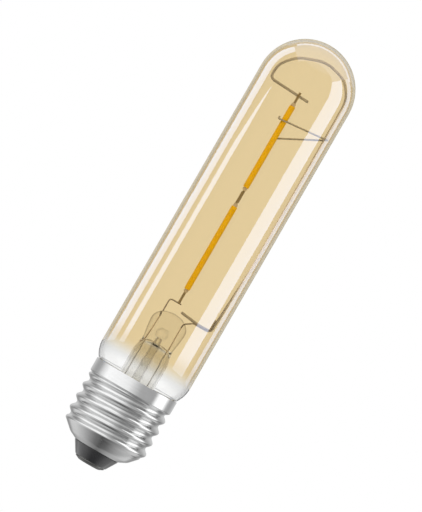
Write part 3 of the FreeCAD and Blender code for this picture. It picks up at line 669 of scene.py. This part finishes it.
cap = dict(pitch=3.629, crest=13.05, root=11.9, skirt=13.1, wall=0.35, bowlZ=4.6,
           threadZ=8.5, skirtZ=23.5, rimZ=27.9, hole=6.9, bendR=9.5, bendZ=5.9, firstCrest=10.33,
           turnsBelow=0.75, turnsAbove=0.35, fadeTurns=0.6, step=1.2, blend=0.35, bowlBend=3,
           bowlInward=(-0.12, 0.33), holeWall=0.38, rows=190, columns=192)


def capRadius(z, angle):
    # Radius over height and angle: a cosine wave that climbs one pitch a turn, with rounded crests and
    # roots. Its height fades in over the first turn and fades out under the skirt. Root, wave and
    # skirt step are joined by a smooth maximum.
    along = (z - cap["firstCrest"]) / cap["pitch"]
    last = (cap["skirtZ"] - cap["firstCrest"]) / cap["pitch"]
    fadeIn = smooth(np.clip((along + cap["turnsBelow"]) / cap["fadeTurns"], 0, 1))
    fadeOut = smooth(np.clip((last - along + cap["turnsAbove"]) / cap["fadeTurns"], 0, 1))
    wave = 0.5 + 0.5 * np.cos(2 * math.pi * along - angle)
    ridge = cap["root"] + (cap["crest"] - cap["root"]) * wave * fadeIn * fadeOut
    rise = smooth(np.clip((z - cap["skirtZ"]) / cap["step"] + 0.5, 0, 1))
    plain = cap["root"] + (cap["skirt"] - cap["root"]) * rise
    gap = np.clip(0.5 + (ridge - plain) / (2 * cap["blend"]), 0, 1)
    return plain + (ridge - plain) * gap


def addCapShell():
    # Bowl outline, then the threaded wall as radius over height and angle, down again on the inside
    angle = fullTurn(cap["columns"])
    bowl = outline([(cap["hole"], cap["bowlZ"]), (cap["bendR"], cap["bendZ"]), (cap["root"], cap["threadZ"])],
                   [cap["bowlBend"]])
    z = np.linspace(cap["threadZ"], cap["rimZ"], cap["rows"])[:, None]
    radius = capRadius(z, angle)
    wall = pointGrid(radius * np.cos(angle), radius * np.sin(angle), z)
    outside = np.concatenate([turnedGrid(bowl[:-1], cap["columns"]), wall])
    shrink = 1 - cap["wall"] / radius[::2]
    inner = wall[::2] * pointGrid(shrink, shrink, 1)
    bowlInside = bowl[:-1] + np.array(cap["bowlInward"])
    bowlInside[0] = (cap["hole"], cap["bowlZ"] + cap["holeWall"])
    inside = np.concatenate([turnedGrid(bowlInside, cap["columns"]), inner])[::-1]
    placeMesh("capShell", "cap_shell", np.concatenate([outside, inside]),
              finishes["platedSteel"], closeRows=True)


insulator = dict(foot=4.9, footZ=1.05, lip=7.1, lipZ=4.6, hole=6.9, flange=8.35, lowZ=5.25,
                 slopeZ=5.95, topZ=7, bore=1.55, bends=[0.35, 0.05, 0.02, 0.02, 0.2, 0.2], columns=112)
contact = dict(flat=3.2, radius=4.6, edgeZ=0.7, topZ=1.05, shank=1.5, high=7.6,
               bends=[1.2, 0.3, 0.05, 0.05, 0.2], columns=96)


def addInsulator():
    # Turned ring: foot, rounded cone, neck through the hole, flange above and bore back down
    i = insulator
    ring = outline([(i["bore"], i["footZ"]), (i["foot"], i["footZ"]), (i["lip"], i["lipZ"]),
                    (i["hole"], i["lipZ"]), (i["hole"], i["lowZ"]), (i["flange"], i["slopeZ"]),
                    (i["flange"], i["topZ"]), (i["bore"], i["topZ"])], i["bends"])
    placeMesh("capInsulator", "cap_insulator", turnedGrid(ring, i["columns"]),
              finishes["blackInsulator"], closeRows=True)


def addContact():
    # Drawn rivet: flat face, curved edge, head and shank
    c = contact
    body = outline([(0, 0), (c["flat"], 0), (c["radius"], c["edgeZ"]), (c["radius"], c["topZ"]),
                    (c["shank"], c["topZ"]), (c["shank"], c["high"]), (0, c["high"])], c["bends"])
    placeMesh("centreContact", "centre_contact", turnedGrid(body, c["columns"]),
              finishes["contactMetal"])


addCapShell()
addInsulator()
addContact()
print("cap ready")


# Hidden and flat pieces that stay as the CAD made them

slotFinish = {
    "cement": "cementFinish", "board": "boardFinish", "black_package": "packageFinish",
    "capacitor_sleeve": "capacitorFinish", "resistor_body": "resistorFinish", "sleeve_fabric": "sleeveFinish",
    "solder": "solderFinish", "filament_metal": "wireMetal", "chip": "chipFinish", "dark_wire": "wireMetal",
    "seal_wire": "copperSkin", "phosphor": "phosphorCoat", "plated_steel": "platedSteel",
    "contact_metal": "contactMetal", "black_insulator": "blackInsulator",
}


def dressNodes():
    # Each node takes its slot's finish, and each tab one of its own
    made = {slot: finishes[name] for slot, name in slotFinish.items()}
    made.update(tinted_glass=amberGlass, clear_glass=clearGlass)
    for part in frame["record"]["subparts"]:
        node = frame["nodes"][part["node"]]
        node.data.materials.clear()
        node.data.materials.append(made[part["material_slot"]])
    for place in ("lower", "upper"):
        low, high = boxOf(place + "_filament_coating")
        for end, edge, up in (("bottom", low[2], -1), ("top", high[2], 1)):
            node = frame["nodes"][f"{place}_filament_{end}_tab"]
            node.data.materials[0] = tabFinish(place + end.capitalize() + "Tab", edge, up)


dressNodes()


# Stage, lamps and camera

studio = dict(
    floorHeight=-0.1, floorSize=0.25, floorFull=0.04, floorColour=(0.85, 0.85, 0.84),
    floorRoughness=0.9, diffuseLevel=0.55, cardRadius=0.6, cardColumns=25, domeRadius=0.42,
    roomRadius=0.5, roomHeight=0.015, lowBlend=(-22, -32), stripTint=(0.52, 0.68, 1),
    rearTint=(1, 0.9, 0.7), stripFade=(0.012, 0.034), stripLeast=0.35, pointWidth=0.03,
    behind=1.02, lowFade=(-0.35, 0.016), lowTop=0.05, lidHeight=0.9, lidGlow=0.3,
    lidHole=0.01, lidPast=0.01, footHeight=-0.6, footGlow=0.8,
)
# Each card beside the glass: from and to, in degrees round the lamp from the front (right is positive),
# low and high in metres, brightness, and its kind. Strips are cool and fade at the foot, a point is a
# strip that narrows upward to its end, and behind lies just behind it. Rear cards are warm, cards are
# plain, and low cards fade out upward. They show only in gleams. A side card shows only through glass.
cards = [
    (-180, -152, 0.016, 0.9, 0.52, "rear"), (-152, -128, 0.016, 0.9, 0.1, "card"),
    (-128, -102, 0.016, 0.82, 2.6, "strip"), (-102, -87, 0.016, 0.9, 0.08, "card"),
    (-87, -73, 0.016, 0.11, 3, "strip"), (-87, -73, 0.11, 0.141, 3, "point"),
    (-87, -73, 0.11, 0.9, 0.08, "behind"), (-73, 57, 0.016, 0.9, 0.012, "card"),
    (57, 94, 0.016, 0.78, 3, "strip"), (94, 114, 0.016, 0.9, 0.08, "card"),
    (114, 131, 0.016, 0.72, 1.8, "strip"), (131, 152, 0.016, 0.9, 0.1, "card"),
    (152, 180, 0.016, 0.9, 0.44, "rear"), (-75, 75, -0.6, 0.016, 1.3, "low"),
    (75, 125, -0.6, 0.016, 1, "low"), (125, 180, -0.6, 0.016, 0.5, "low"),
    (-125, -75, -0.6, 0.016, 1, "low"), (-180, -125, -0.6, 0.016, 0.5, "low"),
    (-150, -60, -0.4, 0.9, 0.7, "side"), (60, 150, -0.4, 0.9, 0.7, "side"),
]
# Each card over the dome: degrees away from the front, degrees round from straight up, and brightness
domeCards = [(66, 119, -44, 46, 0.85), (119, 127, -40, 50, 2.1), (127, 150, -50, 56, 0.35)]
# Brightness of the room round the metal, by degrees round the lamp: level with the cap and above it,
# then from below
levelGlow = [(-180, 0.7), (-152, 0.75), (-137, 0.63), (-123, 0.54), (-110, 0.62), (-92, 1.2), (-76, 1.6),
             (-62, 1.55), (-31, 1.46), (-10, 1.34), (6, 0.98), (22, 0.65), (54, 0.58), (63, 0.6), (70, 1.45),
             (78, 1.9), (99, 1.9), (106, 1.3), (114, 0.62), (128, 0.5), (152, 0.7), (180, 0.7)]
lowGlow = [(-180, 0.42), (-170, 0.58), (-158, 0.88), (-137, 1.1), (-120, 1.15), (-70, 1.15), (-45, 0.85),
           (-15, 0.5), (20, 0.4), (50, 0.5), (85, 0.95), (120, 0.8), (131, 0.95), (145, 1), (158, 0.82),
           (170, 0.58), (180, 0.42)]
# Share of it by degrees above the level
heightGlow = [(-90, 0.16), (-80, 0.22), (-60, 0.6), (-44, 0.85), (-32, 0.9), (-20, 0.5), (-8, 0.8), (-3, 1),
              (4, 1), (16, 1.12), (34, 0.9), (56, 1), (90, 1)]


def glowMaterial(name, level, colour=(1, 1, 1)):
    # Glow of one colour and brightness, with no surface of its own
    material, tree, shader = startMaterial(name)
    tree.nodes.remove(shader)
    glow = addNode(tree, "Emission", {"Strength": level, "Color": (*colour, 1)})
    endWith(glow)
    return material, tree, glow


def addRamp(tree, levels, whole):
    # Colour ramp through pairs of degrees and level, over the whole turn in degrees, as shares of the top
    ramp = addNode(tree, "ValToRGB")
    top = max(level for degrees, level in levels)
    stops = ramp.color_ramp.elements
    while len(stops) < len(levels):
        stops.new(0.5)
    for stop, (degrees, level) in zip(stops, levels):
        stop.position = degrees / whole + 0.5
        stop.color = (level / top, level / top, level / top, 1)
    return ramp, top


def roomMaterial():
    # See-through glow: two ramps over the angle round the lamp, from atan2 of the object coordinates,
    # blended and scaled by the angle above the level
    material, tree, glow = glowMaterial("roomGlow", 1)
    place = addNode(tree, "TexCoord")
    centre = addNode(tree, "VectorMath", {1: (0, 0, studio["roomHeight"])}, operation="SUBTRACT")
    unit = addNode(tree, "VectorMath", operation="NORMALIZE")
    parts = addNode(tree, "SeparateXYZ")
    front = addNode(tree, "Math", {1: -1}, operation="MULTIPLY")
    turn = addNode(tree, "Math", operation="ARCTAN2")
    share = addSpan(tree, -math.pi, math.pi)
    rise = addNode(tree, "Math", operation="ARCSINE")
    up = addSpan(tree, -math.pi / 2, math.pi / 2)
    below = addSpan(tree, *np.radians(studio["lowBlend"]))
    level, levelTop = addRamp(tree, levelGlow, 360)
    low, lowTop = addRamp(tree, lowGlow, 360)
    high, highTop = addRamp(tree, heightGlow, 180)
    lowScaled = addNode(tree, "VectorMath", {"Scale": lowTop / levelTop}, operation="SCALE")
    both = addNode(tree, "Mix", data_type="RGBA")
    scaled = addNode(tree, "VectorMath", operation="MULTIPLY")
    clear = addNode(tree, "BsdfTransparent")
    total = addNode(tree, "AddShader")
    setInputs(glow, {"Strength": levelTop * highTop})
    joinNodes((place, "Object", centre, 0), (centre, "Vector", unit, 0),
              (unit, "Vector", parts, "Vector"), (parts, "Y", front, 0), (parts, "X", turn, 0),
              (front, "Value", turn, 1), (turn, "Value", share, "Value"), (parts, "Z", rise, 0),
              (rise, "Value", up, "Value"), (rise, "Value", below, "Value"),
              (share, "Result", level, "Fac"), (share, "Result", low, "Fac"),
              (up, "Result", high, "Fac"), (low, "Color", lowScaled, 0), (below, "Result", both, "Factor"),
              (level, "Color", both, "A"), (lowScaled, "Vector", both, "B"), (both, "Result", scaled, 0),
              (high, "Color", scaled, 1), (scaled, "Vector", glow, "Color"), (glow, "Emission", total, 0),
              (clear, "BSDF", total, 1))
    endWith(total)
    return material


def glassCollection(name, state):
    # Collection of the glass pieces for light linking: the only receivers, or the only ones left out
    group = bpy.data.collections.new(name)
    for piece in glassPieces:
        group.objects.link(piece)
    for member in group.collection_objects:
        member.light_linking.link_state = state
    return group


def placeCard(name, points, material, receivers, inGleams=True, throughGlass=False):
    # Card that shows only in gleams or through glass, and only on its receivers
    card = addObject(name, gridMesh(name, points, material))
    for way in ("camera", "diffuse", "shadow"):
        setattr(card, "visible_" + way, False)
    card.visible_glossy = inGleams
    card.visible_transmission = throughGlass
    card.light_linking.receiver_collection = receivers


def roundLamp(begin, end, low, high):
    # Arc of a cylinder about the lamp's axis: angle round the lamp and height are the two parameters
    turn = np.radians(np.linspace(begin, end, studio["cardColumns"]))
    radius = studio["cardRadius"]
    return pointGrid(radius * np.sin(turn), -radius * np.cos(turn), np.array([[low], [high]]))


def roundRoom(columns=72, rows=37):
    # Ball about the cap: angle round the lamp and angle above the level are the two parameters
    turn = np.radians(np.linspace(-180, 180, columns + 1))
    rise = np.radians(np.linspace(-90, 90, rows))[:, None]
    flat, height = studio["roomRadius"] * np.cos(rise), studio["roomRadius"] * np.sin(rise)
    return pointGrid(flat * np.sin(turn), -flat * np.cos(turn), studio["roomHeight"] + height)


def overDome(near, far, begin, end, rows=9, columns=25):
    # Part of a ball about the dome's centre: angle away from the front and angle round it from straight up
    away = np.radians(np.linspace(near, far, rows))[:, None]
    turn = np.radians(np.linspace(begin, end, columns))
    side, front = studio["domeRadius"] * np.sin(away), studio["domeRadius"] * np.cos(away)
    return pointGrid(side * np.sin(turn), -front, bulb["domeHeight"] * mm + side * np.cos(turn))


def roundLid(height, columns=24):
    # Flat ring that closes the cards above or below
    turn = np.radians(np.linspace(-180, 180, columns + 1))
    radius = np.array([[studio["lidHole"]], [1]]) * (studio["cardRadius"] + studio["lidPast"])
    return pointGrid(radius * np.sin(turn), -radius * np.cos(turn), height)


def fadeGlow(tree, glow, span, atLow, atHigh):
    # Brightness goes smoothly from one value to another between two heights in metres
    joinNodes((rampAlong(tree, "Z", *span, atLow, atHigh, unit=1), "Result", glow, "Strength"))


def addCards():
    # Cards beside, over and under the glass, and a room round the metal that the glass doesn't mirror
    onGlass = glassCollection("glassReceivers", "INCLUDE")
    offGlass = glassCollection("glassLeftOut", "EXCLUDE")
    cool = studio["stripTint"]
    tints = {"strip": cool, "point": cool, "rear": studio["rearTint"]}
    for number, (*region, level, kind) in enumerate(cards):
        material, tree, glow = glowMaterial("cardGlow" + str(number), level, tints.get(kind, (1, 1, 1)))
        points = roundLamp(*region)
        if kind == "low":
            fadeGlow(tree, glow, studio["lowFade"], level, studio["lowTop"])
        if kind == "strip":
            fadeGlow(tree, glow, studio["stripFade"], studio["stripLeast"] * level, level)
        if kind == "point":
            points[-1] = points[-1, -1] + studio["pointWidth"] * (points[-1] - points[-1, -1])
        if kind == "behind":
            points = points * (studio["behind"], studio["behind"], 1)
        placeCard("card" + str(number), points, material, onGlass, kind != "side", kind == "side")
    for number, (*region, level) in enumerate(domeCards):
        material = glowMaterial("domeGlow" + str(number), level, cool)[0]
        placeCard("domeCard" + str(number), overDome(*region), material, onGlass)
    lid = glowMaterial("lidGlow", studio["lidGlow"], cool)[0]
    foot = glowMaterial("footGlow", studio["footGlow"])[0]
    placeCard("cardLid", roundLid(studio["lidHeight"]), lid, onGlass)
    placeCard("cardFoot", roundLid(studio["footHeight"]), foot, onGlass)
    placeCard("metalRoom", roundRoom(), roomMaterial(), offGlass)


def addFloor():
    # Pale square whose rim fades out, so that no edge shows against the white. Only its upper side is
    # there, so the lamp can be looked at from below.
    size, z = studio["floorSize"], studio["floorHeight"]
    own = {"Base Color": (*studio["floorColour"], 1), "Roughness": studio["floorRoughness"]}
    material, tree, shader = startMaterial("floorPaper", own)
    place = addNode(tree, "TexCoord")
    level = addNode(tree, "VectorMath", {1: (1, 1, 0)}, operation="MULTIPLY")
    away = addNode(tree, "VectorMath", operation="LENGTH")
    rim = addSpan(tree, studio["floorFull"], size, way="SMOOTHSTEP")
    sides = addNode(tree, "NewGeometry")
    most = addNode(tree, "Math", operation="MAXIMUM")
    clear = addNode(tree, "BsdfTransparent")
    both = addNode(tree, "MixShader")
    joinNodes((place, "Object", level, 0), (level, "Vector", away, 0), (away, "Value", rim, "Value"),
              (rim, "Result", most, 0), (sides, "Backfacing", most, 1), (most, "Value", both, "Fac"),
              (shader, "BSDF", both, 1), (clear, "BSDF", both, 2))
    endWith(both)
    corners = pointGrid([-size, size], [[-size], [size]], z)
    floor = addObject("floor", gridMesh("floor", corners, material))
    floor.visible_glossy = False


def addWorld():
    # White for camera, glossy and transmission rays, and a plain pale level for all other light
    world = bpy.data.worlds.new("studio")
    bpy.context.scene.world = world
    world.use_nodes = True
    tree = world.node_tree
    seen = tree.nodes["Background"]
    setInputs(seen, {"Color": (1, 1, 1, 1), "Strength": 1})
    soft = addNode(tree, "Background", {"Color": (1, 1, 1, 1), "Strength": studio["diffuseLevel"]})
    path = addNode(tree, "LightPath")
    first = addNode(tree, "Math", operation="MAXIMUM")
    second = addNode(tree, "Math", operation="MAXIMUM")
    both = addNode(tree, "MixShader")
    joinNodes((path, "Is Camera Ray", first, 0), (path, "Is Glossy Ray", first, 1),
              (first, "Value", second, 0), (path, "Is Transmission Ray", second, 1),
              (second, "Value", both, "Fac"), (soft, "Background", both, 1), (seen, "Background", both, 2))
    endWith(both, "World Output")


def addLamp(name, place, size, power):
    # Soft square lamp that looks at the middle of the view and shows in no gleam
    data = bpy.data.lights.new(name, "AREA")
    data.shape = "RECTANGLE"
    data.size, data.size_y = size
    data.energy = power
    lamp = addObject(name, data)
    lamp.location = place
    toward = Vector((0, 0, view["z"])) - Vector(place)
    lamp.rotation_euler = toward.to_track_quat("-Z", "Y").to_euler()
    lamp.visible_glossy = False
    lamp.visible_transmission = False


# Place in metres, width and height, and power
lamps = {"keyLamp": ((-0.5, -0.6, 0.5), (0.5, 0.5), 6), "fillLamp": ((0.6, -0.5, 0.1), (0.5, 0.6), 3)}
view = dict(lens=500, sensor=36, frameHeight=0.1463, x=0.00056, z=0.0691, lean=30.03,
            clipStart=0.01, clipEnd=20)


def addCamera():
    # Square to the axis from the front, rolled so that the lamp leans to the right
    data = bpy.data.cameras.new("camera")
    data.lens = view["lens"]
    data.sensor_width = view["sensor"]
    data.clip_start = view["clipStart"]
    data.clip_end = view["clipEnd"]
    lean = math.radians(view["lean"])
    right = Vector((math.cos(lean), 0, math.sin(lean)))
    up = Vector((-math.sin(lean), 0, math.cos(lean)))
    back = Vector((0, -1, 0))
    turn = Matrix((right, up, back)).transposed().to_4x4()
    distance = view["frameHeight"] * view["lens"] / view["sensor"]
    camera = addObject("camera", data)
    camera.matrix_world = Matrix.Translation((view["x"], -distance, view["z"])) @ turn
    bpy.context.scene.camera = camera


addCards()
addFloor()
addWorld()
for name, values in lamps.items():
    addLamp(name, *values)
addCamera()
bpy.context.scene.view_settings.view_transform = "Standard"
print("studio ready")
